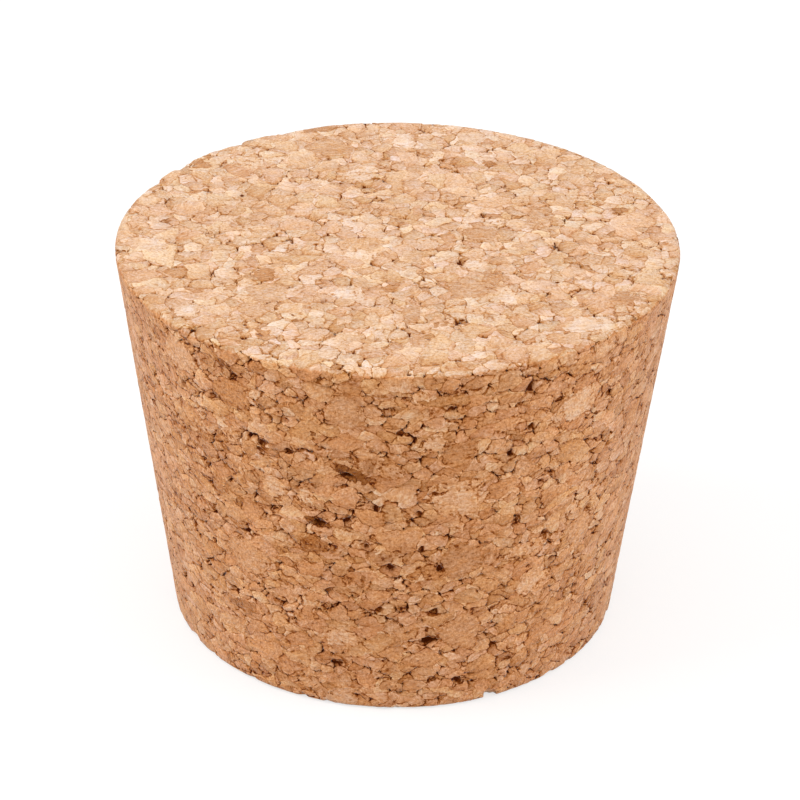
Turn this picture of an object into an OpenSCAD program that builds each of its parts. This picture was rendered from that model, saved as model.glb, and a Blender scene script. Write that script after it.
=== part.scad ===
// Tapered stopper of agglomerated cork.
//
// Granules of cork bark are pressed together with a binder, and the stopper is ground
// from that block as one solid cone. It stands on its narrow end with the wide end up.
// Some granules have broken out of the two rims, and where granules don't quite meet,
// an open pore is left in the surface.
//
// Millimetres. The origin is the centre of the narrow face, and +Z runs up the axis.

/* [Cone] */
// Diameter of the wide end
top_d = 55; // [48:0.5:80]
// Diameter of the narrow end
bottom_d = 45; // [30:0.5:47]
// Height from the narrow face to the wide face
height = 40; // [20:0.5:70]
// Width of the worn edge round each face
edge_wear = 0.3; // [0.1:0.05:1]

/* [Granules] */
// Width of a typical granule, which sets how wide a chip or a pore is
granule = 3; // [1.5:0.1:5]
// Height of a granule as a share of its width, since the block is pressed along the axis
granule_flatness = 0.7; // [0.4:0.02:1]

/* [Chipped rims] */
// How deep a broken-out granule bites into the rim, as a share of the granule
chip_bite = 0.3; // [0.1:0.02:0.5]
// Distance between chips on the hidden part of the lower rim
chip_spacing = 9; // [5:0.5:20]

/* [Pores] */
// Pores in each square centimetre of the side
side_pores = 1.3; // [0:0.1:3]
// Pores in each square centimetre of the two end faces
end_pores = 0.8; // [0:0.1:3]
// Width of a typical pore as a share of the granule
pore_width = 0.36; // [0.1:0.02:0.6]
// Depth of a typical pore as a share of the mean of its length and width
pore_depth = 0.6; // [0.2:0.05:1]
// Radius round the middle of each end face that has no pores
clear_middle = 4; // [2:0.5:10]

/* [Hidden] */

cork_color = [0.80, 0.60, 0.40];
cone_segments = 180;

top_r = top_d / 2;
bottom_r = bottom_d / 2;
taper = atan((top_r - bottom_r) / height);
mm2_per_cm2 = 100;
side_area = PI * (top_r + bottom_r) * height / cos(taper) / mm2_per_cm2;
top_area = PI * pow(top_r, 2) / mm2_per_cm2;
bottom_area = PI * pow(bottom_r, 2) / mm2_per_cm2;
pore_w = granule * pore_width;

// A chip has a granule's outline, a ring of corners. Each range is a least and a most.
CORNERS = [5, 8];
CORNER_REACH = [0.75, 1];
CORNER_TURN = [-0.3, 0.3];

// A pore has the outline of the gap between rounded granules: narrow arms, with hollows
// between them that come near its middle
ARMS = [3, 5];
ARM_REACH = [0.8, 1.15];
HOLLOW_REACH = [0.42, 0.66];
ARM_TURN = [-0.2, 0.2];

// A chip is a flat break over its whole width, and a narrower and deeper one beside its
// middle. Each strays from the chip's bite by a share, on the face and on the side.
WIDE_BREAK = [0.7, 1];
DEEP_BREAK = [1, 1.35];
// The deep break's width and distance from the middle in chip widths, and its turn
DEEP_WIDTH = 0.55;
DEEP_OFFSET = 0.16;
DEEP_TURN = [4, 14];

// Chips on the hidden part of the lower rim: place in their stretch, width and bite
HIDDEN_ARC = [330, 560];
HIDDEN_PLACE = [0.2, 0.8];
HIDDEN_WIDTH = [0.6, 1.4];
HIDDEN_BITE = [0.5, 1.1];

// Scattered pores: the degrees that one strays, its length in pore widths, its width as a
// share of its length, and the turn of its outline
PORE_STRAY = [-6, 6];
SIDE_PORE_LENGTH = [0.7, 1.7];
END_PORE_LENGTH = [0.6, 1.2];
PORE_SLIMNESS = [0.45, 0.9];
PORE_TURN = [-90, 90];
// The slant of a pore's floor in degrees, and the depth of the floor's middle as a share
FLOOR_SLANT = [-16, 16];
FLOOR_MIDDLE = 0.8;
// Turn from one scattered pore to the next, so that no two line up
golden_angle = 137.508;

// Every cut draws its random numbers from seeds of its own
SEEDS_PER_CUT = 40;
TOP_CHIP_SEEDS = 1000;
BOTTOM_CHIP_SEEDS = 2000;
HIDDEN_CHIP_SEEDS = 3000;
WIDE_PORE_SEEDS = 5000;
SIDE_PORE_SEEDS = 10000;
TOP_PORE_SEEDS = 20000;
BOTTOM_PORE_SEEDS = 30000;

// Chips of the upper rim: azimuth, width in granules, share of the chip bite
TOP_CHIPS = [
    [63, 0.3, 0.35],
    [84, 0.35, 0.45],
    [87, 0.4, 0.3],
    [113, 2.4, 0.55],
    [119, 0.5, 0.6],
    [130, 1.6, 0.65],
    [144, 1.3, 0.75],
    [157, 2.2, 0.55],
    [207, 0.8, 0.5],
    [217, 0.8, 0.6],
    [227, 0.7, 0.8],
    [236, 0.5, 0.5],
    [331, 0.6, 0.4],
];

// Chips of the lower rim on the side that shows, in the same terms
BOTTOM_CHIPS = [
    [208, 0.7, 0.6],
    [217, 0.4, 0.45],
    [232, 0.5, 0.45],
    [247, 0.4, 0.5],
    [254, 0.4, 0.45],
    [272, 0.6, 0.4],
    [295.5, 0.65, 1.05],
    [314, 0.5, 0.5],
    [321, 0.4, 0.5],
];

// Widest pores of the side: azimuth, share of the height, length and width in pore
// widths, and turn from level
WIDE_PORES = [
    [222, 0.835, 1.3, 1.1, 0],
    [227, 0.93, 1.6, 0.6, 65],
    [237, 0.925, 1, 0.8, 30],
    [242, 0.757, 1.2, 0.9, 45],
    [248, 0.755, 1.5, 0.8, 5],
    [248, 0.84, 1.2, 0.7, 60],
    [254, 0.56, 1.8, 0.9, -15],
    [261, 0.71, 3, 0.6, -14],
    [225, 0.4, 2.2, 0.5, -30],
    [257, 0.135, 1.9, 0.8, 10],
    [264, 0.505, 1.3, 0.7, 70],
    [266, 0.62, 1.3, 0.6, 70],
    [267, 0.315, 1.1, 0.9, 0],
    [271, 0.84, 1.6, 0.5, 85],
    [275, 0.605, 1.4, 0.7, 75],
    [276, 0.5, 1.9, 0.6, 55],
    [278, 0.215, 3, 0.9, 0],
    [280, 0.435, 2.1, 0.5, 75],
    [281, 0.9, 1.4, 0.7, -50],
    [286, 0.08, 2.2, 0.6, -50],
    [291, 0.585, 2, 0.7, 75],
    [294, 0.75, 2.8, 0.6, 80],
    [297, 0.545, 1.6, 0.6, 85],
    [297, 0.93, 1.9, 0.7, 80],
    [298, 0.815, 1.8, 0.7, 80],
    [299, 0.115, 1.2, 0.7, 20],
    [302, 0.64, 1.6, 0.7, 70],
    [304, 0.87, 1.3, 0.7, 60],
    [305, 0.48, 1.7, 0.6, 85],
    [308, 0.39, 1.6, 0.8, 10],
    [318, 0.5, 1.1, 0.8, 0],
    [322, 0.41, 1.3, 0.8, 20],
    [330, 0.565, 1.2, 0.8, 45],
];

// A random number in a range, the same each time for the same seed
function pick(range, seed) = rands(range[0], range[1], 1, seed)[0];

// Radius of the cone at a height
function side_r(z) = bottom_r + (top_r - bottom_r) * z / height;

// Outline of a granule: an uneven ring of corners that fills a width and a length
function granule_ring(width, length, seed) =
    let (
        corners = floor(pick(CORNERS, seed)),
        step = 360 / corners,
        turns = rands(CORNER_TURN[0], CORNER_TURN[1], corners, seed + 1),
        reach = rands(CORNER_REACH[0], CORNER_REACH[1], corners, seed + 2)
    )
    [
        for (i = [0 : corners - 1])
        let (a = (i + turns[i]) * step)
        [width / 2 * reach[i] * cos(a), length / 2 * reach[i] * sin(a)]
    ];

// Outline of a pore: arms that narrow outwards, the first along Y before the turn. A
// flatness under 1 presses the turned outline together along X.
function pore_ring(length, width, turn, flatness, seed) =
    let (
        arms = floor(pick(ARMS, seed)),
        step = 180 / arms,
        turns = rands(ARM_TURN[0], ARM_TURN[1], 2 * arms, seed + 1)
    )
    [
        for (i = [0 : 2 * arms - 1])
        let (
            a = (i + turns[i]) * step,
            reach = pick(i % 2 == 0 ? ARM_REACH : HOLLOW_REACH, seed + 2 + i),
            along = length / 2 * reach * cos(a),
            across = width / 2 * reach * sin(a)
        )
        [flatness * (across * cos(turn) - along * sin(turn)), across * sin(turn) + along * cos(turn)]
    ];

// A granule-shaped cutter whose floor lies in the XY plane and whose walls rise along +Z
module granule_cutter(width, length, rise, seed) {
    linear_extrude(height = rise)
    polygon(granule_ring(width, length, seed));
}

// Moves a cutter to a rim, where X points out from the axis and Z out of the face
module at_top_rim(azimuth) {
    rotate([0, 0, azimuth])
    translate([top_r, 0, height])
    children();
}

module at_bottom_rim(azimuth) {
    rotate([0, 0, azimuth])
    translate([bottom_r, 0, 0])
    mirror([0, 0, 1])
    children();
}

// Moves a cutter to the side, where Z points out of it and X down along it
module at_side(azimuth, z) {
    rotate([0, 0, azimuth])
    translate([side_r(z), 0, z])
    rotate([0, 90 + taper, 0])
    children();
}

// A flat break across a rim, from inset on the face to drop on the side. The cutter
// reaches past both edges of the break, where it meets nothing but air.
module rim_break(width, inset, drop, seed) {
    length = norm([inset, drop]);
    translate([-inset / 2, 0, -drop / 2])
    rotate([0, atan2(drop, inset), 0])
    granule_cutter(length + width, width, length + width, seed);
}

// A broken-out granule: a wide break and a deep one that meet at ridges
module rim_chip(width, bite, seed) {
    side = pick([-1, 1], seed) < 0 ? -1 : 1;
    rim_break(width, bite * pick(WIDE_BREAK, seed + 1), bite * pick(WIDE_BREAK, seed + 2), seed + 3);
    translate([0, side * width * DEEP_OFFSET, 0])
    rotate([0, 0, side * pick(DEEP_TURN, seed + 6)])
    rim_break(
        width * DEEP_WIDTH,
        bite * pick(DEEP_BREAK, seed + 7),
        bite * pick(DEEP_BREAK, seed + 8),
        seed + 9
    );
}

module top_chips() {
    for (i = [0 : len(TOP_CHIPS) - 1]) {
        chip = TOP_CHIPS[i];
        seed = TOP_CHIP_SEEDS + SEEDS_PER_CUT * i;
        at_top_rim(chip[0])
        rim_chip(granule * chip[1], granule * chip_bite * chip[2], seed);
    }
}

module bottom_chips() {
    for (i = [0 : len(BOTTOM_CHIPS) - 1]) {
        chip = BOTTOM_CHIPS[i];
        seed = BOTTOM_CHIP_SEEDS + SEEDS_PER_CUT * i;
        at_bottom_rim(chip[0])
        rim_chip(granule * chip[1], granule * chip_bite * chip[2], seed);
    }
}

// The rest of the lower rim, chipped at random
module hidden_chips() {
    arc = HIDDEN_ARC[1] - HIDDEN_ARC[0];
    count = max(1, floor(bottom_r * arc * PI / 180 / chip_spacing));
    for (i = [0 : count - 1]) {
        seed = HIDDEN_CHIP_SEEDS + SEEDS_PER_CUT * i;
        width = granule * pick(HIDDEN_WIDTH, seed);
        bite = granule * chip_bite * pick(HIDDEN_BITE, seed + 1);
        at_bottom_rim(HIDDEN_ARC[0] + arc / count * (i + pick(HIDDEN_PLACE, seed + 2)))
        rim_chip(width, bite, seed + 20);
    }
}

// An open pore with a slanted floor, for a surface whose outward direction is +Z.
// Its walls rise straight out of the surface, so that nothing overhangs.
module pore(length, width, turn, flatness, seed) {
    depth = pore_depth * (length + width) / 2;
    span = 2 * length;
    intersection() {
        translate([0, 0, -depth])
        linear_extrude(height = span)
        polygon(pore_ring(length, width, turn, flatness, seed));
        rotate([pick(FLOOR_SLANT, seed + 20), pick(FLOOR_SLANT, seed + 21), 0])
        translate([-span / 2, -span / 2, -depth * FLOOR_MIDDLE])
        cube([span, span, span]);
    }
}

module wide_pores() {
    for (i = [0 : len(WIDE_PORES) - 1]) {
        wide = WIDE_PORES[i];
        seed = WIDE_PORE_SEEDS + SEEDS_PER_CUT * i;
        at_side(wide[0], wide[1] * height)
        pore(pore_w * wide[2], pore_w * wide[3], wide[4], 1, seed);
    }
}

// How far a place on the side lies from the nearest wide pore, along the surface
function from_wide_pore(azimuth, z) =
    min([
        for (wide = WIDE_PORES)
        let (
            turn = abs(azimuth - wide[0]) % 360,
            along = min(turn, 360 - turn) * PI / 180 * side_r(z),
            reach = pore_w * wide[2] / 2
        )
        norm([along, z - wide[1] * height]) - reach
    ]);

// Smaller pores over the whole side, clear of the wide ones
module small_pores() {
    count = floor(side_pores * side_area);
    margin = granule;
    for (i = [1 : 1 : count]) {
        seed = SIDE_PORE_SEEDS + SEEDS_PER_CUT * i;
        azimuth = i * golden_angle + pick(PORE_STRAY, seed);
        z = margin + (height - 2 * margin) * (i - 0.5) / count;
        length = pore_w * pick(SIDE_PORE_LENGTH, seed + 1);
        width = length * pick(PORE_SLIMNESS, seed + 2);
        if (from_wide_pore(azimuth, z) > length)
        at_side(azimuth, z)
        pore(length, width, pick(PORE_TURN, seed + 3), granule_flatness, seed + 4);
    }
}

// Pores scattered over a round face between its middle and its rim
module end_pore_cutters(radius, area, first_seed) {
    count = floor(end_pores * area);
    outer = radius - granule;
    for (i = [1 : 1 : count]) {
        seed = first_seed + SEEDS_PER_CUT * i;
        share = (i - 0.5) / count;
        length = pore_w * pick(END_PORE_LENGTH, seed);
        width = length * pick(PORE_SLIMNESS, seed + 2);
        rotate([0, 0, i * golden_angle + pick(PORE_STRAY, seed + 1)])
        translate([sqrt(pow(clear_middle, 2) * (1 - share) + pow(outer, 2) * share), 0, 0])
        pore(length, width, pick(PORE_TURN, seed + 3), 1, seed + 4);
    }
}

// The ground cone, with its worn edges
module cone_body() {
    rotate_extrude($fn = cone_segments)
    polygon([
        [0, 0],
        [bottom_r - edge_wear, 0],
        [side_r(edge_wear), edge_wear],
        [side_r(height - edge_wear), height - edge_wear],
        [top_r - edge_wear, height],
        [0, height],
    ]);
}

module stopper() {
    color(cork_color)
    difference() {
        cone_body();
        top_chips();
        bottom_chips();
        hidden_chips();
        wide_pores();
        small_pores();
        translate([0, 0, height])
        end_pore_cutters(top_r, top_area, TOP_PORE_SEEDS);
        mirror([0, 0, 1])
        end_pore_cutters(bottom_r, bottom_area, BOTTOM_PORE_SEEDS);
    }
}

stopper();
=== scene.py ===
import math
from types import SimpleNamespace

import bmesh
import bpy
import numpy as np
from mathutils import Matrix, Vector


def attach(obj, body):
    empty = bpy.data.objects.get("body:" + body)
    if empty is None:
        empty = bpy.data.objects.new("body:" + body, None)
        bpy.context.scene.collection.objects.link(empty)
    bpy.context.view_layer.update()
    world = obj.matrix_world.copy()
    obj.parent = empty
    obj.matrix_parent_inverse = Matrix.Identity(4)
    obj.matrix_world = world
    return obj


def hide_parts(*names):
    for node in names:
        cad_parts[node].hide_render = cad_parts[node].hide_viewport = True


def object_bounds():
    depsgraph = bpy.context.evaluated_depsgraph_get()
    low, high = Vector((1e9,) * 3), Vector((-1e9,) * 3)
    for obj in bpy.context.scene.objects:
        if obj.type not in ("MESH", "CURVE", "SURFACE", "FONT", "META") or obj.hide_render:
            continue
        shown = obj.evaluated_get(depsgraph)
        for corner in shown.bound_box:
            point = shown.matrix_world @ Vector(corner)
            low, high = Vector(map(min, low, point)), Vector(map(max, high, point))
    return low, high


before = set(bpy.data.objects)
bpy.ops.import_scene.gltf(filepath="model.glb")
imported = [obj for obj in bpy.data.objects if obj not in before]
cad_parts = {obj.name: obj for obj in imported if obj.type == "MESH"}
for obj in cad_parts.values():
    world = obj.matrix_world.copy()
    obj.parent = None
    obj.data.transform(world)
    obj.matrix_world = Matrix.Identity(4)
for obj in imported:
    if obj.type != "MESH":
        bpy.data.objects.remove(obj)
cad_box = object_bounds()

# Units. The pattern is worked out in millimetres, as the part's source is.
MM = 0.001

# A noise is given by its scale in 1/mm, its detail and its roughness. A ramp is given by the two
# values that it runs between and, unless that is 0 and 1, by what it makes of each.
USUAL_NOISE = (0.25, 0.75)
SOFTLY = "SMOOTHSTEP"

# The stopper's nominal surface, in millimetres: a cone between two flat ends.
HEIGHT = (cad_box[1].z - cad_box[0].z) / MM
WIDE_RADIUS = 27.5
NARROW_RADIUS = 22.5

# The mesh: how far apart two corners may lie to be welded, and the size of its voxels, in metres,
# and the most triangles it may have.
WELD = 1e-7
VOXEL = 0.16 * MM
MOST_TRIANGLES = 192_000
# What is kept at each point: its place before the relief in millimetres, how near a pore it is, how
# far inside a placed granule it is, and that granule's look.
REST = "rest_place"
NEAR = "near_pore"
PLACED = "inside_placed"
LOOK = "look_of_placed"
# How many steps along the mesh the nearness of a pore spreads.
NEAR_STEPS = 30

# The map that a bake is drawn on, in millimetres: the cone in panels, the first of them from the
# back (azimuth 90), and a gap round each island.
BAKE_MAP = "OFBake"
PANELS = 3
PANEL_TURN = 360 / PANELS
FIRST_PANEL = 90
MAP_GAP = 1.0

# The granules, in millimetres: flattened along the axis, their borders bent and then frayed.
FLATNESS = 0.68
BEND_NOISE, BEND_REACH = (0.5, 1.0, 0.5), 1.3
FRAY_NOISE, FRAY_REACH = (3.0, 1.0, 0.6), 0.17
# Each size of granule, with the least and the most that it is cut back by, as shares of it (below 0
# it isn't), and how much its granules differ in tone.
CRUMB, SMALL, MEDIUM, LARGE = 0.9, 1.7, 2.6, 4.1
SIZES = ((CRUMB, 0, 0, 1.3), (SMALL, -0.6, 0.13, 1.2), (MEDIUM, 0.0, 0.4, 0.9), (LARGE, 0.1, 0.8, 0.6))
# How far the cells of each size are moved, in that size, so that no two sizes share their borders.
SIZE_SHIFT = (7.3, 3.1, 5.7)
# How much further the medium and large granules keep from a pore than the smaller.
RETREAT = 2.5
# How widely the middles of neighbouring cells are blended, to tell where three or more of them meet.
MEETING_WIDTH = 0.4

# Granules that stand out, listed one by one: azimuth and share of the height on the cone, half width,
# half height, turn, how light (1 is a light granule, -3 a fleck of bark and -4 or less a pit) and how
# pink (-1 is orange).
ON_CONE = (
    (309.0, 0.835, 2.6, 1.6, 15, 1.4, 0.3), (283.5, 0.630, 2.6, 1.5, 0, 1.1, 0.0),
    (283.0, 0.678, 3.2, 0.6, 5, 1.0, 0.0), (285.0, 0.455, 2.1, 2.1, 0, -0.8, 0.2),
    (303.5, 0.345, 2.0, 1.4, 0, 1.1, 0.0), (260.0, 0.890, 1.8, 1.8, 0, -0.1, 0.3),
    (286.0, 0.235, 2.0, 2.2, 0, -0.2, 0.0), (316.0, 0.440, 1.6, 1.9, 0, 0.4, 0.1),
    (267.0, 0.745, 2.7, 1.1, -30, 0.5, 0.0), (235.5, 0.400, 2.4, 2.0, 0, 0.3, 0.2),
    (244.0, 0.640, 1.3, 1.3, 0, 1.3, 0.1), (251.3, 0.630, 0.9, 1.0, 0, 1.6, 0.2),
    (234.5, 0.755, 1.0, 0.8, 0, 1.0, 0.0), (278.0, 0.810, 1.0, 1.2, 20, 1.2, 0.1),
    (276.0, 0.940, 0.8, 0.5, -20, 1.5, -0.3), (314.5, 0.965, 1.4, 0.9, -15, 1.2, 0.0),
    (222.0, 0.920, 2.3, 1.8, 0, 0.7, 0.2), (258.0, 0.220, 1.6, 1.2, 0, 0.9, 0.2),
    (257.5, 0.030, 1.6, 1.1, 0, 1.0, 0.5), (300.5, 0.450, 2.2, 0.8, 10, 1.0, 0.0),
    (312.0, 0.520, 1.3, 0.6, -25, 1.4, 0.0), (320.0, 0.855, 1.3, 0.4, -5, 1.3, 0.0),
    (229.5, 0.585, 1.0, 1.2, 0, -1.0, -1.0), (252.3, 0.490, 1.3, 1.0, 0, -1.9, -1.0),
    (277.5, 0.425, 1.7, 1.0, 0, -1.2, -0.9), (236.0, 0.875, 2.2, 1.6, 0, -0.7, -0.9),
    (283.0, 0.770, 1.6, 1.6, 0, -1.0, -0.4), (261.8, 0.713, 2.0, 0.65, -25, -3.4, 1.8),
    (253.2, 0.563, 1.3, 0.5, -15, -3.4, 1.8), (234.7, 0.955, 0.8, 0.45, 10, -3.2, 1.6),
    (253.8, 0.810, 0.4, 0.5, 0, -3.2, 1.6), (262.0, 0.400, 0.9, 0.9, 0, -1.6, 0.6),
    (232.5, 0.235, 1.7, 0.8, 0, -1.5, 0.5), (267.5, 0.475, 1.3, 1.0, 0, -0.8, 0.3))
# The same on the upper face, where x and y place them.
ON_TOP = (
    (-3.3, -1.1, 2.3, 1.2, 0, -0.1, -0.9), (-3.6, -3.5, 1.8, 1.1, 0, 1.2, -0.1),
    (-12.7, -8.1, 1.1, 1.4, -15, -1.8, -1.0), (-21.0, -7.8, 1.1, 1.0, -30, -1.1, -1.0),
    (0.6, 22.6, 1.1, 2.0, 10, 1.1, 0.1), (-4.0, 14.3, 1.9, 1.4, 20, 1.0, 0.2),
    (-15.0, 16.9, 2.1, 1.4, 0, 0.8, -0.2), (-20.0, 16.2, 1.1, 0.9, -20, -1.2, -0.5),
    (-8.6, 25.2, 1.7, 0.8, 10, -1.6, 0.0), (-4.6, -11.5, 1.6, 1.4, 0, 1.2, 0.5),
    (10.2, -11.7, 0.9, 2.1, 15, 1.1, -0.2), (9.6, 4.0, 1.1, 0.6, 0, 1.4, -0.2),
    (7.5, -5.4, 1.3, 1.1, 0, 0.9, 0.1), (6.8, -10.3, 2.2, 2.1, 0, -0.6, 0.2),
    (9.2, -8.0, 1.2, 1.7, 0, -0.7, 0.3), (17.4, -17.5, 1.9, 1.7, 0, 0.8, 0.3),
    (-23.8, -1.9, 1.9, 1.3, -35, 0.9, 0.1), (-14.0, 1.4, 1.9, 1.4, 0, 0.7, 0.2),
    (8.0, 1.2, 1.8, 1.4, 0, -0.8, 0.2), (13.9, 5.0, 1.2, 2.5, -10, -0.4, 0.1),
    (21.6, -11.6, 1.5, 1.1, 0, -1.3, 0.9), (-19.0, -15.5, 1.7, 1.4, 0, 0.7, 0.5),
    (-7.6, 12.3, 0.6, 0.9, -20, 1.4, 0.0), (-7.0, 20.8, 2.3, 2.2, 0, -0.7, -0.2),
    (-12.2, -11.7, 1.9, 1.9, 0, -0.4, 0.1), (7.5, 23.4, 1.6, 1.7, 0, 0.6, 0.1),
    (1.4, -15.5, 0.9, 2.0, 0, -0.8, 0.6), (-15.4, 9.2, 0.35, 0.4, 20, -4.0, -0.5),
    (15.6, -1.6, 0.2, 0.7, 15, -5.0, -0.5), (5.9, -4.9, 0.25, 0.7, 0, -4.0, -0.5),
    (-13.9, -20.5, 0.35, 0.4, 0, -4.0, -0.5), (-3.3, 11.4, 0.45, 0.25, -30, -4.0, -0.8),
    (22.0, 6.8, 1.0, 0.6, 30, -2.2, -0.3), (9.2, 17.5, 0.9, 0.7, -40, -2.0, -0.6),
    (-9.2, -17.0, 0.3, 0.8, 25, -3.0, -0.8), (15.1, 14.9, 0.35, 0.5, 0, -3.0, -0.4),
    (8.0, -19.8, 0.3, 0.35, 0, -4.0, -0.6), (3.5, -5.8, 0.2, 0.4, -10, -4.5, -0.5),
    (-0.6, -10.5, 1.0, 0.7, 30, -1.6, -1.0), (3.2, -25.3, 0.6, 0.4, 0, -2.5, -0.8),
    (4.0, -17.6, 0.9, 0.5, 30, -1.8, -0.6), (10.9, 21.2, 0.3, 0.3, 0, -3.5, -0.3),
    (-24.5, 9.6, 0.3, 0.4, 0, -3.5, 0.0), (-6.3, -5.3, 0.3, 0.35, 0, -3.0, -0.8),
    (12.4, 8.8, 0.25, 0.5, 0, -3.0, -0.6))
# How far they reach below the surface, in millimetres, and what their lightness is multiplied by,
# so that they stand out from the random ones.
PLACED_DEPTH = 2.0
BOLDNESS = 1.9
# Their outlines: the waves round them, how high those are and how far they turn from one granule
# to the next, and how much the edge frays, in millimetres.
LUMPS = ((3, 0.10, 1.0), (5, 0.07, 2.3))
PLACED_NOISE, PLACED_FRAY = (1.6, 2.0, 0.6), 0.25
# What stands for their third random number: no accent, and half way between olive and rose.
PLAIN = 0.42
# How far inside them a point is that is near none, in millimetres.
FAR_OUTSIDE = -9.0

# Where the CAD's pores start below the surface, and how clear of both rims they lie, in millimetres.
PORE_STARTS = (0.05, 0.25)
CLEAR_OF_RIMS = (1.0, 2.2)

# Where the cone's colours change to the ends' at a rim, in millimetres, and how that line frays.
END_NOISE, END_FRAY = (1.3, 2.0, 0.6), (0.3, 0.7, -0.1, 0.3)
END_STARTS = (-0.12, 0.12)

# What opens between the granules differs by patch, and it breaks off where a finer noise says so.
PATCH_NOISE = (0.7, 1.0, 0.6)
BREAK_NOISE = (3.0, 2.0, 0.6)
# Hairlines, dark joints round the granules: how strong they are by patch, by break and by the side of
# the granule, stronger as painted shade where its tilt sinks it, and how far from the border they fade.
LINE_BY_PATCH = (0.35, 0.62, 0.1, 1.2)
LINE_BY_BREAK = (0.42, 0.58, 0.0, 1.25)
LINE_SHADE_BY_LEAN = (-0.25, 0.3, 0.2, 1.7)
LINE_FADE = (0.01, 0.10, 1.0, 0.0)
# Open seams: how wide they are by patch and by break, the same beside a pore, how they fade over
# that width, where they are, and how open they are on the cone and on the ends.
SEAM_BY_PATCH = (0.46, 0.72, 0.03, 0.18)
SEAM_BY_BREAK = (0.35, 0.7, 0.0, 2.0)
PORE_SEAM_BY_NEAR = (0.0, 0.2, 0.0, 0.16)
PORE_SEAM_BY_BREAK = (0.35, 0.65, 0.4, 1.8)
SEAM_FADE = (0.2, 1.0, 1.0, 0.0)
SEAM_PATCHES = (0.46, 0.63)
SEAM_OPEN = (0.7, 0.4)
SEAM_NEARNESS = (0.01, 0.12)
# Pits and dust, where granules meet: how closely they have to meet, by patch, on the ends and by
# break, and how soft the edges are.
PIT_BY_PATCH = (0.3, 0.65, 0.066, 0.042)
PIT_ON_END = 0.006
PIT_BY_BREAK = (0.3, 0.7, 0.008, -0.008)
PIT_EDGE = (0.0, 0.008)
DUST_BY_BREAK = (0.3, 0.7, -0.02, 0.02)
DUST_EDGE = (0.030, 0.048)
# A placed granule whose tone, boldness and all, lies below these is a pit all over.
PIT_TONE = (-7.0, -7.5)

# Relief, in millimetres, and the depth over which it fades in the CAD's own pores and chips.
SEAM_DEPTH = 0.12
PIT_DEPTH = 0.45
GRANULE_TILT = 0.04
GRANULE_STEP = 0.03
LEAN_RANGE = (-0.6, 0.6)
RELIEF_FADE = (0.15, 0.4, 1.0, 0.0)

# The grey of the cone and of the ends, 0 to 255, and what each trait adds to it on the two.
# The ends' higher grey is partly their paler cut grain, partly painted light for the upper face's light.
BASE_GREY = (157, 191)
ADDED_GREY = {
    "own tone": (9, 11),
    "accent": (10, 12),
    # Painted shade: each granule darker on the side that its tilt sinks and lighter on the side it raises.
    "lean": (-20, -18),
    # Painted shade, darker towards each granule's border, so that it looks rounded.
    "painted rounding shade": (9, 7),
    "speck": (-20, -22),
    "near a pore": (-8, -8),
    "fibres": (21, 19),
    "mottle": (20, 19),
    "broad patch": (3, 5),
    "inner line": (-5, -5),
    "line": (-31, -23),
    "seam": (-56, -50),
    "pit": (-100, -100),
    "dust": (-20, -20),
    "glint": (14, 8),
    # Painted highlight on the rim of each granule, on its higher side.
    "rim": (18, 14),
}
# The small cells inside a larger granule: how far each shifts its tone, and how its border fades.
INNER_SHARE = 0.4
INNER_LINE = (0.0, 0.12, 1.0, 0.0)
# Which granules have a light accent and which a dark one, by the third random number.
LIGHT_ACCENT = (0.90, 0.94)
DARK_ACCENT = (0.10, 0.06)
# Painted shade that makes a granule look rounded, darker towards its border, and a painted highlight
# on the rim inside its border on the side that lies higher: from the border inwards in millimetres.
ROUNDING_SHADE = (0.0, 0.4, -1.0, 0.25)
RIM_HIGHLIGHT_STARTS, RIM_HIGHLIGHT_ENDS = (0.02, 0.08), (0.22, 0.10)
RIM_HIGHLIGHT_BY_LEAN = (0.0, -0.3)
# Small dark specks, small bright glints and broad patches, each a noise and where it counts.
SPECK_NOISE, SPECKS = (3.6, 0.0, 0.5), (0.64, 0.74)
GLINT_NOISE, GLINTS = (4.5, 0.0, 0.5), (0.66, 0.78)
BROAD_NOISE, BROAD_PATCHES = (0.3, 2.0, 0.6), (0.3, 0.7, -1, 1)
# A mottle, and fibres, which are a noise that is drawn out along the grain by this share.
MOTTLE_NOISE = (3.2, 1.6, 0.8)
FIBRE_NOISE = (4.4, 1.6, 0.75)
FIBRE_STRETCH = 0.9
# In a CAD pore, painted shade that deepens inwards: what its wall adds to the grey, and the depth in
# millimetres, give or take the mottle, at which it turns to the grey of a deep one.
PORE_WALL_SHADE = -16
DEEP_SHADE_STARTS = (0.36, 0.54)
DEEP_SHADE_FRAY = 0.15
DEEP_PORE_SHADE = 52.0

# The share of full light that falls on the cone and on the upper face.
SIDE_LIGHT = 0.80
TOP_LIGHT = 0.98
# The colours that each shows in it: a grey, then the red, green and blue that it stands for.
# The ends' paler colours are partly their cut grain, partly painted light for the upper face's light.
SIDE_COLOURS = (
    (30, 68, 22, 1), (50, 94, 38, 2), (78, 123, 64, 14), (100, 146, 87, 38), (120, 165, 107, 60),
    (136, 181, 124, 80), (157, 200, 145, 101), (175, 213, 163, 123), (200, 230, 190, 154))
TOP_COLOURS = (
    (60, 108, 48, 3), (120, 167, 110, 54), (157, 195, 140, 94), (173, 207, 160, 119), (182, 214, 172, 136),
    (193, 223, 185, 153), (203, 229, 196, 168), (219, 240, 212, 189), (232, 247, 224, 206))
# No paint is paler than this.
PALEST_PAINT = 0.97
# What a granule's colour is multiplied by, in linear values: between the first two by its hue, and
# between the last two by its rosiness.
ORANGE = (1.05, 0.965, 0.81)
PALE = (0.99, 1.015, 1.11)
OLIVE = (0.995, 1.005, 0.955)
ROSE = (1.015, 0.968, 0.985)
# The hue is random, changes by patch and is far on the orange side in lines and seams. It runs
# from orange to pale over this range.
TINT_NOISE, TINT = (0.9, 1.0, 0.7), (0.3, 0.7, -1.3, 1.3)
LINE_HUE = -2.4
HUE_RANGE = (-1.6, 1.6)
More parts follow.
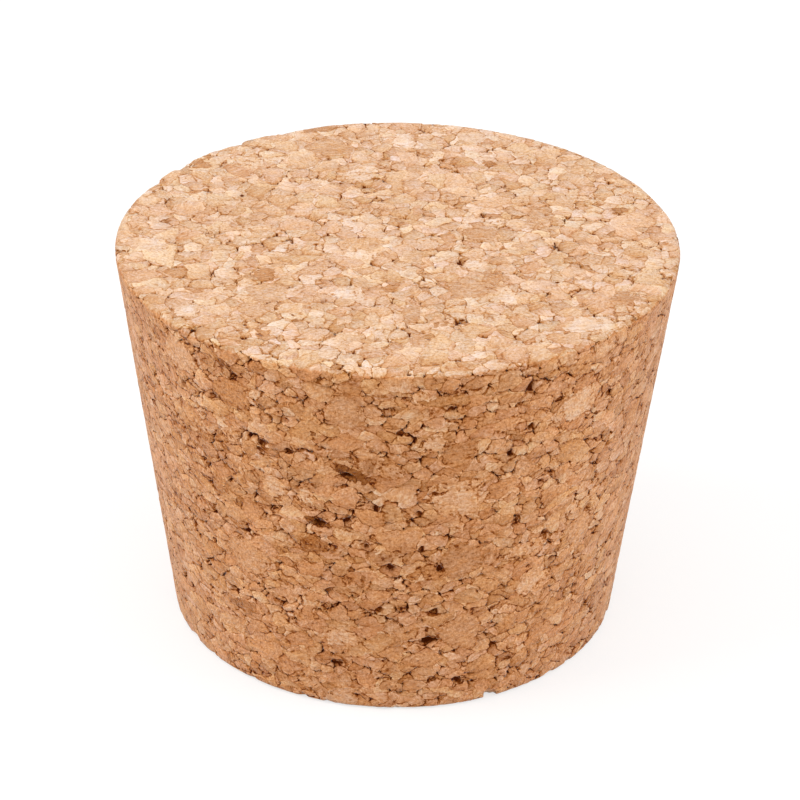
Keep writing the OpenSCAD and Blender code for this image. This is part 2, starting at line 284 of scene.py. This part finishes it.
# The third random number goes to and fro over this length, to give a rosiness of its own.
ROSY_LENGTH = 0.17

# The cork's fine bumps, in millimetres, and the rest of its surface, by the shader's own names.
BUMP_HEIGHT = 0.08
BUMP_STRENGTH = 0.8
SURFACE = {
    "Roughness": 0.65,
    "Specular IOR Level": 0.08,
    "Sheen Weight": 0.42,
    "Sheen Roughness": 0.3,
    "Sheen Tint": (1.0, 0.93, 0.86, 1.0),
}

# The floor, in metres: half its width, and how far it lies below the stopper.
FLOOR_HALF = 2.0
FLOOR_DROP = 0.02 * MM
# What it shows the eye, a glow and a paint, and the paint that throws light on the stopper.
FLOOR_GLOW = 0.66
FLOOR_SHOWN = (0.38, 0.38, 0.38)
FLOOR_LIT = (0.60, 0.60, 0.60)
# The world's light, and each lamp's name, power in watts, azimuth and elevation. Azimuth 270 is
# the front. Lamps are this wide and stand this far away, in metres.
WORLD_LIGHT = 0.80
LAMPS = (("top_light", 0.5, 300, 70), ("left_light", 2.5, 190, 42), ("right_light", 1.7, 350, 25))
LAMP_WIDTH = 0.5
LAMP_DISTANCE = 0.8

# The camera, in metres and degrees. The focal length, the picture's side and where the stopper's
# centre lies in it are in pixels.
STOPPER_CENTRE = Vector((0, 0, HEIGHT / 2 * MM))
CAMERA_DISTANCE = 0.300
CAMERA_AZIMUTH = 270
CAMERA_ELEVATION = 30.0
FOCAL_PX = 2984.0
PICTURE_SIDE = 800
CENTRE_AT = (395.75, 416.2)
SENSOR_MM = 36.0
NEAR_CLIP = 0.01
ROLL = math.radians(0.8)


class Nodes:
    """Adds nodes to a shader or geometry tree and links them, in one short call each."""

    def __init__(self, tree):
        self.tree = tree

    def put(self, socket, value):
        if isinstance(value, bpy.types.NodeSocket):
            self.tree.links.new(value, socket)
        else:
            socket.default_value = value

    def add(self, kind, inputs=None, **settings):
        node = self.tree.nodes.new(kind)
        for name, value in settings.items():
            setattr(node, name, value)
        for name, value in (inputs or {}).items():
            self.put(node.inputs[name], value)
        return node

    def math(self, operation, a, b=0.0, c=0.0):
        return self.add("ShaderNodeMath", {0: a, 1: b, 2: c}, operation=operation).outputs[0]

    def vector(self, operation, a, b=(0, 0, 0)):
        return self.add("ShaderNodeVectorMath", {0: a, 1: b}, operation=operation).outputs["Vector"]

    def measure(self, operation, a, b=(0, 0, 0)):
        return self.add("ShaderNodeVectorMath", {0: a, 1: b}, operation=operation).outputs["Value"]

    def times(self, vector, factor):
        inputs = {0: vector, "Scale": factor}
        return self.add("ShaderNodeVectorMath", inputs, operation="SCALE").outputs["Vector"]

    def parts(self, vector):
        return self.add("ShaderNodeSeparateXYZ", {0: vector}).outputs

    def noise(self, place, scale, detail, roughness, output="Fac"):
        inputs = {"Vector": place, "Scale": scale, "Detail": detail, "Roughness": roughness}
        return self.add("ShaderNodeTexNoise", inputs).outputs[output]

    def cells(self, place, size, feature="F1", **more):
        inputs = {"Vector": place, "Scale": 1.0 / size, **more}
        return self.add("ShaderNodeTexVoronoi", inputs, feature=feature).outputs

    def sum(self, *values):
        total = values[0]
        for value in values[1:]:
            total = self.math("ADD", total, value)
        return total

    def ramp(self, value, low, high, to_low=0.0, to_high=1.0, kind="LINEAR"):
        inputs = {"Value": value, "From Min": low, "From Max": high, "To Min": to_low, "To Max": to_high}
        return self.add("ShaderNodeMapRange", inputs, interpolation_type=kind).outputs["Result"]

    def swing(self, noise, low, high):
        """A noise brought to the range between two values."""
        return self.ramp(noise, *USUAL_NOISE, low, high)

    def both_ways(self, share):
        """A share from 0 to 1 brought to the range from -1 to 1."""
        return self.math("SUBTRACT", self.math("MULTIPLY", share, 2.0), 1.0)

    def mix(self, factor, a, b, kind="RGBA"):
        node = self.add("ShaderNodeMix", data_type=kind)
        ending = {"RGBA": "Color", "FLOAT": "Float"}[kind]
        sockets = {s.identifier: s for s in node.inputs}
        self.put(sockets["Factor_Float"], factor)
        self.put(sockets["A_" + ending], a)
        self.put(sockets["B_" + ending], b)
        return {s.identifier: s for s in node.outputs}["Result_" + ending]

    def palette(self, value, stops):
        node = self.add("ShaderNodeValToRGB", {"Fac": value})
        band = node.color_ramp
        for place, colour in stops[1:-1]:
            band.elements.new(place)
        for element, (place, colour) in zip(band.elements, stops):
            element.position = place
            element.color = colour
        return node.outputs["Color"]


def linear(red, green, blue):
    """An sRGB colour, 0 to 255, as the linear values that a shader takes."""
    def one(c):
        c /= 255
        return c / 12.92 if c <= 0.04045 else ((c + 0.055) / 1.055) ** 2.4
    return (one(red), one(green), one(blue))


def tones(light, stops):
    """Greys, 0 to 1, against the paint that shows each colour in that share of full light."""
    band = []
    for grey, *seen in stops:
        paint = [min(c / light, PALEST_PAINT) for c in linear(*seen)]
        band.append((grey / 255, (*paint, 1.0)))
    return band


# ---- the pattern, shared by the relief and the material ----

def depths(n, place):
    """How far a place lies below the cone and below the nearer end, in millimetres."""
    z = n.parts(place)[2]
    radius = n.measure("LENGTH", n.vector("MULTIPLY", place, (1, 1, 0)))
    cone = n.ramp(z, 0.0, HEIGHT, NARROW_RADIUS, WIDE_RADIUS)
    below_end = n.math("MINIMUM", z, n.math("SUBTRACT", HEIGHT, z))
    return n.math("SUBTRACT", cone, radius), below_end


def in_pore(n, below_cone, below_end):
    """1 in a pore and 0 on the surface and on the chipped rims."""
    sunk = n.math("MINIMUM", below_cone, below_end)
    inward = n.math("MAXIMUM", below_cone, below_end)
    return n.math("MULTIPLY", n.ramp(sunk, *PORE_STARTS), n.ramp(inward, *CLEAR_OF_RIMS))


def bent_place(n, place):
    """The place in the pressed block, bent so that no border runs straight."""
    bent = n.vector("MULTIPLY", place, (1, 1, 1 / FLATNESS))
    for noise, reach in ((BEND_NOISE, BEND_REACH), (FRAY_NOISE, FRAY_REACH)):
        wobble = n.noise(bent, *noise, "Color")
        offset = n.times(n.vector("SUBTRACT", wobble, (0.5, 0.5, 0.5)), reach)
        bent = n.vector("ADD", bent, offset)
    return bent


def random_granules(n, bent, near):
    """The granule that each place lies in, the larger ones laid over the smaller.

    It has a random colour, of which each part is a random number; the place in it, measured from
    its middle; the gap to its border; and how much its kind varies in tone. With it come the small
    cell that the place would lie in by itself, and how near it is to where small granules meet.
    """
    g = SimpleNamespace(bent=bent)
    for size, least, most, variety in SIZES:
        shifted = n.vector("ADD", bent, tuple(size * shift for shift in SIZE_SHIFT))
        cell = n.cells(shifted, size)
        colour = cell["Color"]
        local = n.times(n.vector("SUBTRACT", shifted, cell["Position"]), 1 / size)
        border = n.math("MULTIPLY", n.cells(shifted, size, "DISTANCE_TO_EDGE")["Distance"], size)
        if size == CRUMB:
            g.colour, g.gap, g.local, g.variety = colour, border, local, variety
            continue
        cut = n.math("MAXIMUM", n.ramp(n.parts(colour)[1], 0.0, 1.0, least * size, most * size), 0.0)
        if size > SMALL:
            cut = n.sum(cut, n.math("MULTIPLY", near, RETREAT))
        inside = n.math("SUBTRACT", border, cut)
        here = n.math("GREATER_THAN", inside, 0.0)
        outside = n.math("MINIMUM", g.gap, n.math("ABSOLUTE", inside))
        if size == SMALL:
            soft = n.cells(shifted, size, "SMOOTH_F1", Smoothness=MEETING_WIDTH)
            g.meeting = n.math("SUBTRACT", cell["Distance"], soft["Distance"])
            g.inner_colour, g.inner_gap = colour, border
        else:
            g.meeting = n.mix(here, g.meeting, 0.0, "FLOAT")
        g.colour = n.mix(here, g.colour, colour)
        g.local = n.mix(here, g.local, local)
        g.variety = n.mix(here, g.variety, variety, "FLOAT")
        g.gap = n.mix(here, outside, inside, "FLOAT")
    return g


def lay_placed_over(n, g, place, placed, look):
    """Lays the placed granules over the random ones, with frayed edges."""
    inside = n.sum(placed, n.swing(n.noise(place, *PLACED_NOISE), -PLACED_FRAY, PLACED_FRAY))
    here = n.math("GREATER_THAN", inside, 0.0)
    g.colour = n.mix(here, g.colour, look)
    g.local = n.mix(here, g.local, (0, 0, 0, 1))
    g.variety = n.mix(here, g.variety, 1.0, "FLOAT")
    g.gap = n.mix(here, n.math("MINIMUM", g.gap, n.math("ABSOLUTE", inside)), inside, "FLOAT")
    g.meeting = n.mix(here, g.meeting, 0.0, "FLOAT")


def lines_and_seams(n, g, patch, breaks, near, end):
    """Hairlines round the granules, and seams that stand open, most of all near a pore."""
    strength = n.math("MULTIPLY", n.ramp(patch, *LINE_BY_PATCH), n.ramp(breaks, *LINE_BY_BREAK))
    # Painted shade: the hairlines grow stronger on the side of a granule that its tilt sinks.
    strength = n.math("MULTIPLY", strength, n.ramp(g.lean, *LINE_SHADE_BY_LEAN))
    g.line = n.math("MULTIPLY", n.ramp(g.gap, *LINE_FADE, SOFTLY), strength)
    width = n.math("MULTIPLY", n.ramp(patch, *SEAM_BY_PATCH), n.ramp(breaks, *SEAM_BY_BREAK))
    beside_pore = n.ramp(near, *PORE_SEAM_BY_NEAR)
    beside_pore = n.math("MULTIPLY", beside_pore, n.ramp(breaks, *PORE_SEAM_BY_BREAK))
    width = n.math("MAXIMUM", width, beside_pore)
    seam = n.ramp(n.math("DIVIDE", g.gap, width), *SEAM_FADE, SOFTLY)
    open_here = n.math("MULTIPLY", n.ramp(patch, *SEAM_PATCHES), n.ramp(end, 0, 1, *SEAM_OPEN))
    open_here = n.math("MAXIMUM", open_here, n.ramp(near, *SEAM_NEARNESS))
    g.seam = n.math("MULTIPLY", seam, open_here)


def pits_and_dust(n, g, patch, breaks, end):
    """Pits where granules meet, in a wider ring of dark dust, and the placed pits."""
    needed = n.sum(n.ramp(patch, *PIT_BY_PATCH), n.math("MULTIPLY", end, PIT_ON_END))
    needed = n.sum(needed, n.ramp(breaks, *PIT_BY_BREAK))
    pit = n.ramp(n.math("SUBTRACT", g.meeting, needed), *PIT_EDGE, kind=SOFTLY)
    g.pit = n.math("MAXIMUM", pit, n.ramp(g.own, *PIT_TONE))
    g.dust = n.ramp(n.sum(g.meeting, n.ramp(breaks, *DUST_BY_BREAK)), *DUST_EDGE, kind=SOFTLY)


def cork_pattern(n, read):
    """The granules and what lies between them, with a mask that is 1 on the flat ends.

    Read takes the name and the kind of an attribute of the mesh.
    """
    place, look = read(REST, "VECTOR"), read(LOOK, "VECTOR")
    near, placed = read(NEAR, "FLOAT"), read(PLACED, "FLOAT")
    below_cone, below_end = depths(n, place)
    fray = n.ramp(n.noise(place, *END_NOISE), *END_FRAY)
    end = n.ramp(n.sum(n.math("SUBTRACT", below_cone, below_end), fray), *END_STARTS, kind=SOFTLY)
    g = random_granules(n, bent_place(n, place), near)
    lay_placed_over(n, g, place, placed, look)
    g.own = n.both_ways(n.parts(g.colour)[0])
    g.along = n.vector("NORMALIZE", n.vector("SUBTRACT", g.colour, (0.5, 0.5, 0.5)))
    g.lean = n.measure("DOT_PRODUCT", g.local, g.along)
    patch = n.noise(g.bent, *PATCH_NOISE)
    breaks = n.noise(place, *BREAK_NOISE)
    lines_and_seams(n, g, patch, breaks, near, end)
    pits_and_dust(n, g, patch, breaks, end)
    g.place, g.near, g.end, g.below_cone, g.below_end = place, near, end, below_cone, below_end
    return g


# ---- the stopper's mesh ----

def relief_tree():
    """Geometry nodes that note what is near a pore, tilt and step the granules, and sink the
    seams and pits."""
    tree = bpy.data.node_groups.new("cork_relief", "GeometryNodeTree")
    for way in ("INPUT", "OUTPUT"):
        tree.interface.new_socket("Geometry", in_out=way, socket_type="NodeSocketGeometry")
    n = Nodes(tree)

    def read(name, kind):
        kind = {"VECTOR": "FLOAT_VECTOR", "FLOAT": "FLOAT"}[kind]
        return n.add("GeometryNodeInputNamedAttribute", {"Name": name}, data_type=kind).outputs["Attribute"]

    mask = in_pore(n, *depths(n, read(REST, "VECTOR")))
    spread = n.add("GeometryNodeBlurAttribute", {"Value": mask, "Iterations": NEAR_STEPS}, data_type="FLOAT")
    given = n.add("NodeGroupInput").outputs["Geometry"]
    inputs = {"Geometry": given, "Name": NEAR, "Value": spread.outputs[0]}
    kept = n.add("GeometryNodeStoreNamedAttribute", inputs, data_type="FLOAT")
    g = cork_pattern(n, read)
    tilt = n.ramp(g.lean, *LEAN_RANGE, 0.0, GRANULE_TILT)
    step = n.ramp(n.parts(g.colour)[2], 0.0, 1.0, 0.0, GRANULE_STEP)
    seam = n.math("MULTIPLY", n.math("MAXIMUM", g.seam, g.pit), SEAM_DEPTH)
    pit = n.math("MULTIPLY", g.pit, PIT_DEPTH - SEAM_DEPTH)
    sunk = n.sum(tilt, step, seam, pit)
    sunk = n.math("MULTIPLY", sunk, n.ramp(n.math("MINIMUM", g.below_cone, g.below_end), *RELIEF_FADE))
    normal = n.add("GeometryNodeInputNormal").outputs[0]
    offset = n.times(normal, n.math("MULTIPLY", sunk, -MM))
    moved = n.add("GeometryNodeSetPosition", {"Geometry": kept.outputs[0], "Offset": offset})
    n.add("NodeGroupOutput", {"Geometry": moved.outputs[0]})
    return tree


def bake_modifiers(piece):
    """Leaves the mesh that the piece's modifiers make, and no modifier."""
    graph = bpy.context.evaluated_depsgraph_get()
    made = bpy.data.meshes.new_from_object(piece.evaluated_get(graph), depsgraph=graph)
    piece.modifiers.clear()
    piece.data = made


def welded_copy(node):
    """A new object with the CAD node's shape, its corners welded."""
    mesh = node.data.copy()
    mesh.materials.clear()
    edit = bmesh.new()
    edit.from_mesh(mesh)
    bmesh.ops.remove_doubles(edit, verts=edit.verts, dist=WELD)
    edit.to_mesh(mesh)
    edit.free()
    piece = bpy.data.objects.new("cork_stopper", mesh)
    bpy.context.scene.collection.objects.link(piece)
    return piece


def axes_of_placed():
    """Centre, the two ways along the surface, half sizes, turn and look of each placed granule."""
    taper = math.atan((WIDE_RADIUS - NARROW_RADIUS) / HEIGHT)
    rows = []
    for azimuth, share, *rest in ON_CONE:
        a = math.radians(azimuth)
        out = Vector((math.cos(a), math.sin(a), 0))
        radius = NARROW_RADIUS + (WIDE_RADIUS - NARROW_RADIUS) * share
        up = Vector((0, 0, 1)) * math.cos(taper) + out * math.sin(taper)
        centre = out * radius + Vector((0, 0, HEIGHT * share))
        rows.append((centre, Vector((-math.sin(a), math.cos(a), 0)), up, *rest))
    for x, y, *rest in ON_TOP:
        rows.append((Vector((x, y, HEIGHT)), Vector((1, 0, 0)), Vector((0, 1, 0)), *rest))
    return rows


def placed_granules(points):
    """How far each point lies inside the nearest placed granule, and that granule's look.

    The look stands for the three random numbers of a random granule: lightness, hue and the third.
    """
    inside = np.full(len(points), FAR_OUTSIDE)
    look = np.zeros((len(points), 3))
    for k, (centre, across, up, wide, high, turn, own, hue) in enumerate(axes_of_placed()):
        t = math.radians(turn)
        along = across * math.cos(t) + up * math.sin(t)
        over = up * math.cos(t) - across * math.sin(t)
        off = points - np.array(centre)
        u, v = off @ np.array(along) / wide, off @ np.array(over) / high
        w = off @ np.array(across.cross(up)) / PLACED_DEPTH
        angle = np.arctan2(v, u)
        lumpy = 1
        for waves, swell, shift in LUMPS:
            lumpy = lumpy + swell * np.cos(waves * angle + shift * k)
        deep = (1 - np.sqrt(u * u + v * v + w * w) * lumpy) * min(wide, high)
        nearer = deep > inside
        inside[nearer] = deep[nearer]
        look[nearer] = ((own * BOLDNESS + 1) / 2, (hue + 1) / 2, PLAIN)
    return inside, look


def keep_attribute(mesh, name, kind, values):
    key = {"FLOAT": "value", "FLOAT_VECTOR": "vector"}[kind]
    mesh.attributes.new(name, kind, "POINT").data.foreach_set(key, np.ravel(values).astype(np.float32))


def points_of(mesh):
    flat = np.empty(3 * len(mesh.vertices), np.float32)
    mesh.vertices.foreach_get("co", flat)
    return flat.reshape(-1, 3)


def bake_map(mesh):
    """Lays the cone out in panels and the two ends beside them, in the square of a bake."""
    points = points_of(mesh).astype(float) / MM
    start = np.empty(len(mesh.polygons), np.int32)
    mesh.polygons.foreach_get("loop_start", start)
    corner = np.empty(len(mesh.loops), np.int32)
    mesh.loops.foreach_get("vertex_index", corner)
    count = np.diff(np.append(start, len(corner)))
    x, y, z = points[corner].T
    middle = np.add.reduceat(points[corner], start) / count[:, None]
    cone = NARROW_RADIUS + (WIDE_RADIUS - NARROW_RADIUS) * middle[:, 2] / HEIGHT
    below = np.stack([cone - np.hypot(*middle[:, :2].T), HEIGHT - middle[:, 2], middle[:, 2]])
    face = np.repeat(np.argmin(below, 0), count)
    azimuth = (np.degrees(np.arctan2(middle[:, 1], middle[:, 0])) - FIRST_PANEL) % 360
    panel = np.repeat(azimuth // PANEL_TURN, count)
    panel_middle = FIRST_PANEL + PANEL_TURN * panel + PANEL_TURN / 2
    turned = (np.degrees(np.arctan2(y, x)) - panel_middle + 180) % 360 - 180
    mean_radius = (WIDE_RADIUS + NARROW_RADIUS) / 2
    slant = math.hypot(HEIGHT, WIDE_RADIUS - NARROW_RADIUS)
    half = math.radians(PANEL_TURN / 2) * mean_radius
    side = np.stack([MAP_GAP + half + np.radians(turned) * mean_radius,
                     MAP_GAP + panel * (slant + MAP_GAP) + z / HEIGHT * slant], 1)
    left = 2 * MAP_GAP + 2 * half + WIDE_RADIUS
    top = np.stack([left + x, MAP_GAP + WIDE_RADIUS + y], 1)
    bottom = np.stack([left - x, 2 * MAP_GAP + 2 * WIDE_RADIUS + NARROW_RADIUS + y], 1)
    spot = np.select([face[:, None] == 0, face[:, None] == 1], [side, top], bottom)
    square = MAP_GAP + PANELS * (slant + MAP_GAP)
    mesh.uv_layers.new(name=BAKE_MAP).data.foreach_set("uv", np.ravel(spot / square).astype(np.float32))


def stopper_piece():
    """The CAD's shape in fine voxels, with the relief, in fewer triangles and with its bake map."""
    piece = welded_copy(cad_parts["stopper"])
    remesh = piece.modifiers.new("fine", "REMESH")
    remesh.mode = "VOXEL"
    remesh.voxel_size = VOXEL
    bake_modifiers(piece)
    points = points_of(piece.data).astype(float) / MM
    inside, look = placed_granules(points)
    keep_attribute(piece.data, REST, "FLOAT_VECTOR", points)
    keep_attribute(piece.data, PLACED, "FLOAT", inside)
    keep_attribute(piece.data, LOOK, "FLOAT_VECTOR", look)
    piece.modifiers.new("relief", "NODES").node_group = relief_tree()
    bake_modifiers(piece)
    triangles = sum(len(p.vertices) - 2 for p in piece.data.polygons)
    fewer = piece.modifiers.new("fewer", "DECIMATE")
    fewer.ratio = min(1.0, MOST_TRIANGLES / triangles)
    bake_modifiers(piece)
    piece.data.validate()
    points = points_of(piece.data)
    points[:, 2] = points[:, 2].clip(cad_box[0].z, cad_box[1].z)
    piece.data.vertices.foreach_set("co", points.ravel())
    bake_map(piece.data)
    piece.data.shade_smooth()
    return piece


# ---- materials ----

def traits(n, g, fibres, mottle):
    """What makes a place lighter or darker, by the names in ADDED_GREY."""
    third = n.parts(g.colour)[2]
    inner = n.math("MULTIPLY", n.ramp(n.parts(g.inner_colour)[0], 0, 1, -1, 1), INNER_SHARE)
    # The band inside a granule's border that holds the painted rim highlight.
    highlight_band = n.math("MULTIPLY", n.ramp(g.gap, *RIM_HIGHLIGHT_STARTS), n.ramp(g.gap, *RIM_HIGHLIGHT_ENDS))
    return {
        "own tone": n.sum(n.math("MULTIPLY", g.own, g.variety), inner),
        "accent": n.math("SUBTRACT", n.ramp(third, *LIGHT_ACCENT), n.ramp(third, *DARK_ACCENT)),
        # Painted shade across each granule, by its tilt.
        "lean": g.lean,
        # Painted shade towards a granule's border.
        "painted rounding shade": n.ramp(g.gap, *ROUNDING_SHADE, SOFTLY),
        "speck": n.ramp(n.noise(g.place, *SPECK_NOISE), *SPECKS),
        "near a pore": g.near,
        "fibres": n.swing(fibres, -1, 1),
        "mottle": n.swing(mottle, -1, 1),
        "broad patch": n.ramp(n.noise(g.bent, *BROAD_NOISE), *BROAD_PATCHES),
        "inner line": n.ramp(g.inner_gap, *INNER_LINE, SOFTLY),
        "line": g.line,
        "seam": g.seam,
        "pit": g.pit,
        "dust": g.dust,
        "glint": n.ramp(n.noise(g.place, *GLINT_NOISE), *GLINTS),
        # Painted highlight on the higher side of a granule's rim.
        "rim": n.math("MULTIPLY", highlight_band, n.ramp(g.lean, *RIM_HIGHLIGHT_BY_LEAN)),
    }


def lightness(n, g, fibres, mottle):
    """How light the cork is: the grey, 0 to 1, that its colour goes with."""
    grey = n.ramp(g.end, 0, 1, *BASE_GREY)
    for name, amount in traits(n, g, fibres, mottle).items():
        grey = n.sum(grey, n.math("MULTIPLY", amount, n.ramp(g.end, 0, 1, *ADDED_GREY[name])))
    # Painted shade in the CAD's pores: their walls darker, and darker still from a depth on.
    pore_shade_mask = in_pore(n, g.below_cone, g.below_end)
    depth = n.sum(n.math("MINIMUM", g.below_cone, g.below_end), n.swing(mottle, DEEP_SHADE_FRAY, -DEEP_SHADE_FRAY))
    deep = n.math("MULTIPLY", pore_shade_mask, n.ramp(depth, *DEEP_SHADE_STARTS))
    grey = n.sum(grey, n.math("MULTIPLY", pore_shade_mask, PORE_WALL_SHADE))
    return n.math("MULTIPLY", n.mix(deep, grey, DEEP_PORE_SHADE, "FLOAT"), 1 / 255)


def cork_colour(n, g, fibres, mottle):
    light = lightness(n, g, fibres, mottle)
    side = n.palette(light, tones(SIDE_LIGHT, SIDE_COLOURS))
    top = n.palette(light, tones(TOP_LIGHT, TOP_COLOURS))
    # The ends take the paler colours: partly their cut grain, partly painted light.
    base = n.mix(g.end, side, top)
    tint = n.ramp(n.noise(g.bent, *TINT_NOISE), *TINT)
    own_hue = n.both_ways(n.parts(g.colour)[1])
    hue = n.sum(own_hue, tint, n.math("MULTIPLY", n.sum(g.line, g.seam, g.dust), LINE_HUE))
    orange = n.vector("MULTIPLY", base, ORANGE)
    pale = n.vector("MULTIPLY", base, PALE)
    warm = n.mix(n.ramp(hue, *HUE_RANGE), orange, pale)
    rosy = n.math("PINGPONG", n.parts(g.colour)[2], ROSY_LENGTH)
    rosy = n.ramp(rosy, 0.0, ROSY_LENGTH)
    return n.mix(rosy, n.vector("MULTIPLY", warm, OLIVE), n.vector("MULTIPLY", warm, ROSE))


def new_material(name):
    """An empty material and the means to fill it."""
    material = bpy.data.materials.new(name)
    material.use_nodes = True
    material.node_tree.nodes.clear()
    return material, Nodes(material.node_tree)


def cork_material():
    material, n = new_material("cork")

    def read(name, kind):
        output = {"VECTOR": "Vector", "FLOAT": "Fac"}[kind]
        return n.add("ShaderNodeAttribute", attribute_name=name).outputs[output]

    g = cork_pattern(n, read)
    along = n.math("MULTIPLY", n.measure("DOT_PRODUCT", g.place, g.along), FIBRE_STRETCH)
    drawn_out = n.vector("SUBTRACT", g.place, n.times(g.along, along))
    fibres = n.noise(drawn_out, *FIBRE_NOISE)
    mottle = n.noise(g.place, *MOTTLE_NOISE)
    colour = cork_colour(n, g, fibres, mottle)
    height = n.swing(mottle, -BUMP_HEIGHT, BUMP_HEIGHT)
    bump = n.add("ShaderNodeBump", {"Strength": BUMP_STRENGTH, "Distance": MM, "Height": height})
    inputs = {"Base Color": colour, "Normal": bump.outputs[0], **SURFACE}
    surface = n.add("ShaderNodeBsdfPrincipled", inputs)
    n.add("ShaderNodeOutputMaterial", {"Surface": surface.outputs[0]})
    return material


def seen_directly(n):
    """1 for rays from the camera or through gloss and glass, 0 for light that falls on things."""
    path = n.add("ShaderNodeLightPath").outputs
    seen = n.math("MAXIMUM", path["Is Camera Ray"], path["Is Glossy Ray"])
    return n.math("MAXIMUM", seen, path["Is Transmission Ray"])


def floor_material():
    """White to the eye, with the object's soft shadow, and a plain pale floor to the light."""
    material, n = new_material("pale_floor")
    glow = n.add("ShaderNodeEmission", {"Color": (1, 1, 1, 1), "Strength": FLOOR_GLOW})
    matt = n.add("ShaderNodeBsdfDiffuse", {"Color": (*FLOOR_SHOWN, 1)})
    shown = n.add("ShaderNodeAddShader", {0: glow.outputs[0], 1: matt.outputs[0]})
    lit = n.add("ShaderNodeBsdfDiffuse", {"Color": (*FLOOR_LIT, 1)})
    both = n.add("ShaderNodeMixShader", {0: seen_directly(n), 1: lit.outputs[0], 2: shown.outputs[0]})
    n.add("ShaderNodeOutputMaterial", {"Surface": both.outputs[0]})
    return material


def floor_piece():
    mesh = bpy.data.meshes.new("floor")
    corners = [(x * FLOOR_HALF, y * FLOOR_HALF, 0) for x, y in ((-1, -1), (1, -1), (1, 1), (-1, 1))]
    mesh.from_pydata(corners, [], [(0, 1, 2, 3)])
    mesh.materials.append(floor_material())
    floor = bpy.data.objects.new("floor", mesh)
    bpy.context.scene.collection.objects.link(floor)
    floor.location.z = cad_box[0].z - FLOOR_DROP
    return floor


def white_world(strength):
    """White to the eye, and light of that strength on things."""
    world = bpy.data.worlds.new("soft_white")
    world.use_nodes = True
    world.node_tree.nodes.clear()
    n = Nodes(world.node_tree)
    power = n.math("MAXIMUM", seen_directly(n), strength)
    back = n.add("ShaderNodeBackground", {"Color": (1, 1, 1, 1), "Strength": power})
    n.add("ShaderNodeOutputWorld", {"Surface": back.outputs[0]})
    bpy.context.scene.world = world


# ---- lamps and camera ----

def aimed(thing, spot, target):
    """Puts a lamp or camera at a spot, looking at a target."""
    item = bpy.data.objects.new(thing.name, thing)
    item.location = spot
    item.rotation_euler = (Vector(target) - Vector(spot)).to_track_quat("-Z", "Y").to_euler()
    bpy.context.scene.collection.objects.link(item)
    return item


def round_stopper(distance, azimuth, elevation):
    """A point at that distance from the stopper's centre, with angles in degrees."""
    a, e = math.radians(azimuth), math.radians(elevation)
    way = Vector((math.cos(a) * math.cos(e), math.sin(a) * math.cos(e), math.sin(e)))
    return STOPPER_CENTRE + distance * way


def square_lamp(name, watts, azimuth, elevation):
    lamp = bpy.data.lights.new(name, "AREA")
    lamp.energy = watts
    lamp.size = LAMP_WIDTH
    aimed(lamp, round_stopper(LAMP_DISTANCE, azimuth, elevation), STOPPER_CENTRE)


def photo_camera():
    lens = bpy.data.cameras.new("photo_camera")
    lens.sensor_width = SENSOR_MM
    lens.lens = FOCAL_PX * SENSOR_MM / PICTURE_SIDE
    lens.clip_start = NEAR_CLIP
    spot = round_stopper(CAMERA_DISTANCE, CAMERA_AZIMUTH, CAMERA_ELEVATION)
    forward = (STOPPER_CENTRE - spot).normalized()
    right = forward.cross(Vector((0, 0, 1))).normalized()
    up = right.cross(forward)
    per_px = CAMERA_DISTANCE / FOCAL_PX
    across = (PICTURE_SIDE / 2 - CENTRE_AT[0]) * per_px
    above = (CENTRE_AT[1] - PICTURE_SIDE / 2) * per_px
    camera = aimed(lens, spot, STOPPER_CENTRE + right * across + up * above)
    camera.rotation_euler.rotate_axis("Z", ROLL)
    bpy.context.scene.camera = camera


# ---- the scene ----

stopper = stopper_piece()
stopper.data.materials.append(cork_material())
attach(stopper, "root")
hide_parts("stopper")

floor_piece()
white_world(WORLD_LIGHT)
for lamp in LAMPS:
    square_lamp(*lamp)
photo_camera()

view = bpy.context.scene.view_settings
view.view_transform = "Standard"
